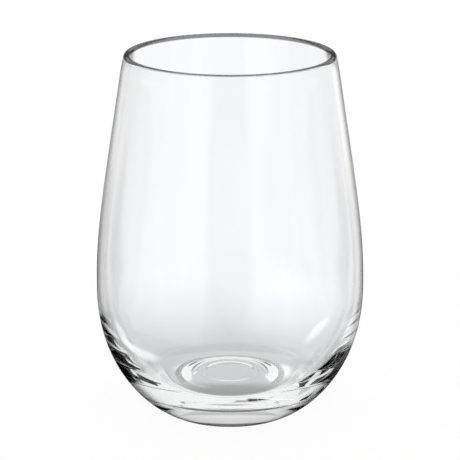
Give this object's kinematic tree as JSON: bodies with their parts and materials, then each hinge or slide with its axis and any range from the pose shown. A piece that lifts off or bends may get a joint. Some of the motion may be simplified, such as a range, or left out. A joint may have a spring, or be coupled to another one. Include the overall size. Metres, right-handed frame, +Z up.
{
  "type": "stemless tumbler",
  "caption": "Clear stemless drinking glass with a low round belly, a straight taper up to a rounded rim and a thick base, hollowed underneath, on a flat standing ring.",
  "frame": {"origin": "middle of the plane that the standing ring rests on", "axes": "+Z up along the axis of revolution, from the base to the mouth; X and Y are free because the glass is round"},
  "size_m": [0.0894, 0.0894, 0.122],
  "materials": {
    "clear_glass": "clear colourless soda-lime glass, fire-polished and glossy, very faintly grey-green in the thick base"
  },
  "bodies": {
    "root": {"base": "clear_glass", "heel": "clear_glass", "bowl": "clear_glass", "rim": "clear_glass"}
  },
  "joints": []
}
